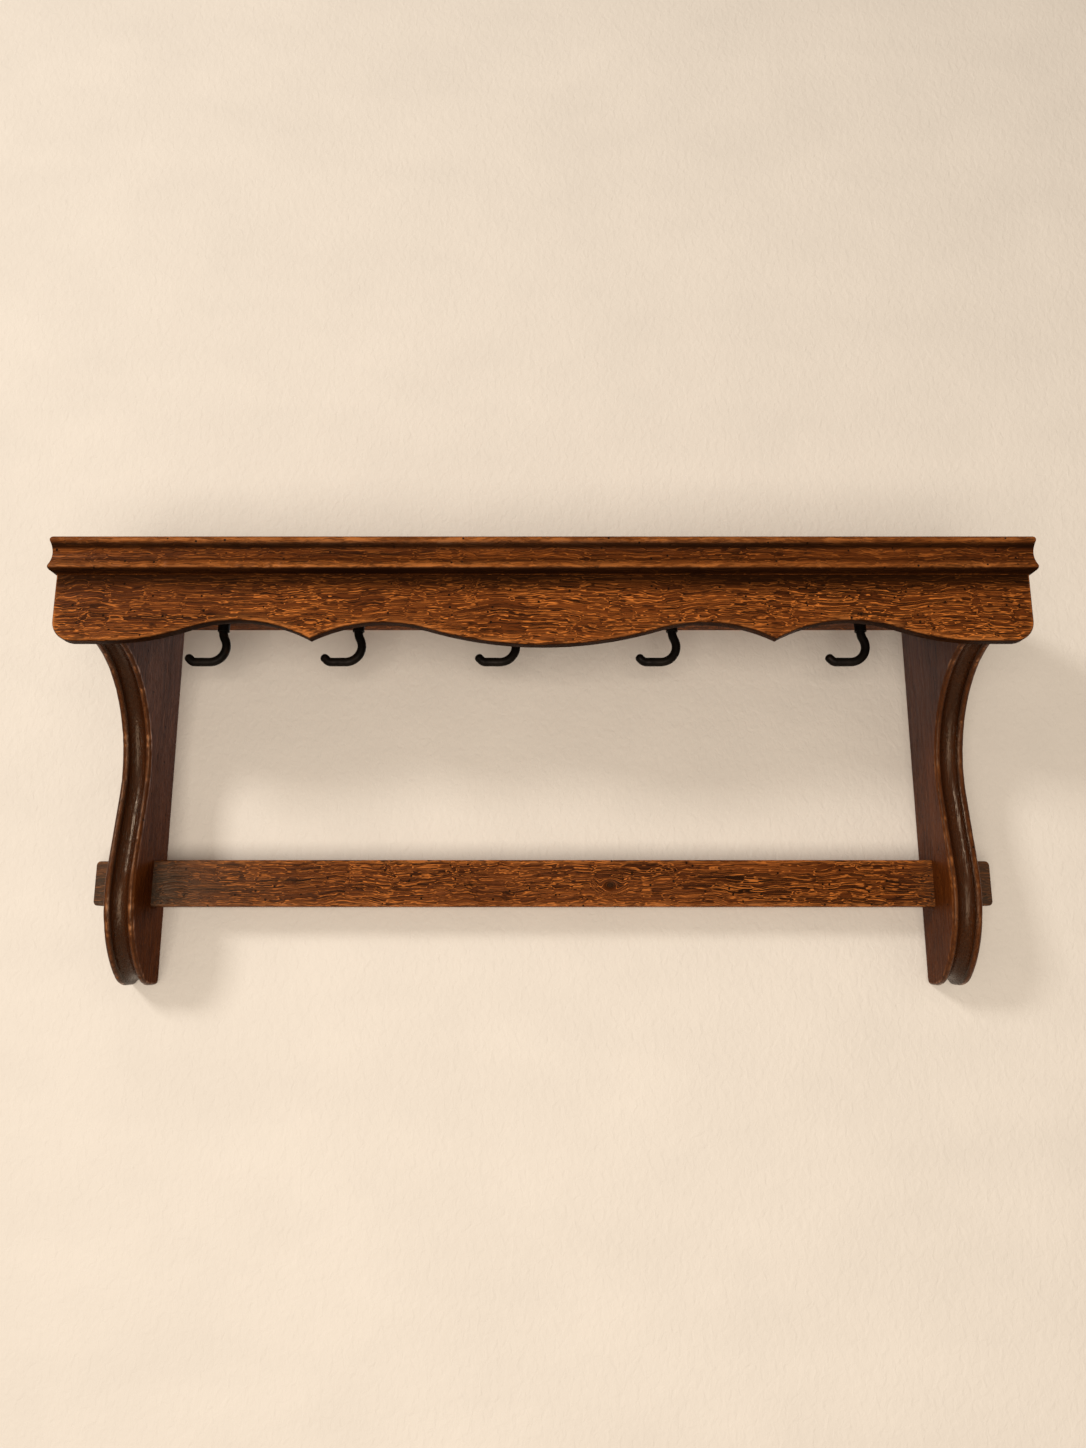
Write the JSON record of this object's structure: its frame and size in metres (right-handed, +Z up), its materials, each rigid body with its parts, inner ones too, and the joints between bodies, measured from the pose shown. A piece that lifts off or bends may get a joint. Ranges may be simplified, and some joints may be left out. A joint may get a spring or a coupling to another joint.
{
  "type": "wall shelf",
  "caption": "Oak wall shelf with a moulded top, scalloped apron and S-shaped moulded brackets, a tenoned hanging rail between them and swivelling iron hooks under the top.",
  "frame": {"origin": "on the wall plane, midway between the rounds of the two keyholes that the shelf hangs from", "axes": "+X along the shelf to the right as seen from the room, +Y into the wall, +Z up"},
  "size_m": [0.909, 0.1785, 0.409],
  "materials": {
    "stained_oak": "satin",
    "plain_beech": "matte",
    "black_iron": "satin",
    "plain_steel": "satin"
  },
  "bodies": {
    "frame": {"top_board": "stained_oak", "front_cornice": "stained_oak", "left_cornice_return": "stained_oak", "right_cornice_return": "stained_oak", "apron": "stained_oak", "left_bracket": "stained_oak", "right_bracket": "stained_oak", "hanging_rail": "stained_oak", "bracket_dowels": "plain_beech", "glue_blocks": "plain_beech", "left_keyhole_plate": "plain_steel", "right_keyhole_plate": "plain_steel", "keyhole_plate_screws": "plain_steel", "rosette_screws": "black_iron", "rosette_1": "black_iron", "rosette_2": "black_iron", "rosette_3": "black_iron", "rosette_4": "black_iron", "rosette_5": "black_iron"},
    "hook_1": {"hook_1": "black_iron"},
    "hook_2": {"hook_2": "black_iron"},
    "hook_3": {"hook_3": "black_iron"},
    "hook_4": {"hook_4": "black_iron"},
    "hook_5": {"hook_5": "black_iron"}
  },
  "joints": [
    {"name": "hook_1_swivel", "type": "hinge", "parent": "frame", "child": "hook_1", "pos_m": [-0.32209, -0.07499, 0.025], "axis": [0, 0, 1], "continuous": true},
    {"name": "hook_2_swivel", "type": "hinge", "parent": "frame", "child": "hook_2", "pos_m": [-0.18594, -0.07499, 0.025], "axis": [0, 0, 1], "continuous": true},
    {"name": "hook_3_swivel", "type": "hinge", "parent": "frame", "child": "hook_3", "pos_m": [-0.03112, -0.07499, 0.025], "axis": [0, 0, 1], "continuous": true},
    {"name": "hook_4_swivel", "type": "hinge", "parent": "frame", "child": "hook_4", "pos_m": [0.12993, -0.07499, 0.025], "axis": [0, 0, 1], "continuous": true},
    {"name": "hook_5_swivel", "type": "hinge", "parent": "frame", "child": "hook_5", "pos_m": [0.32015, -0.07499, 0.025], "axis": [0, 0, 1], "continuous": true}
  ]
}
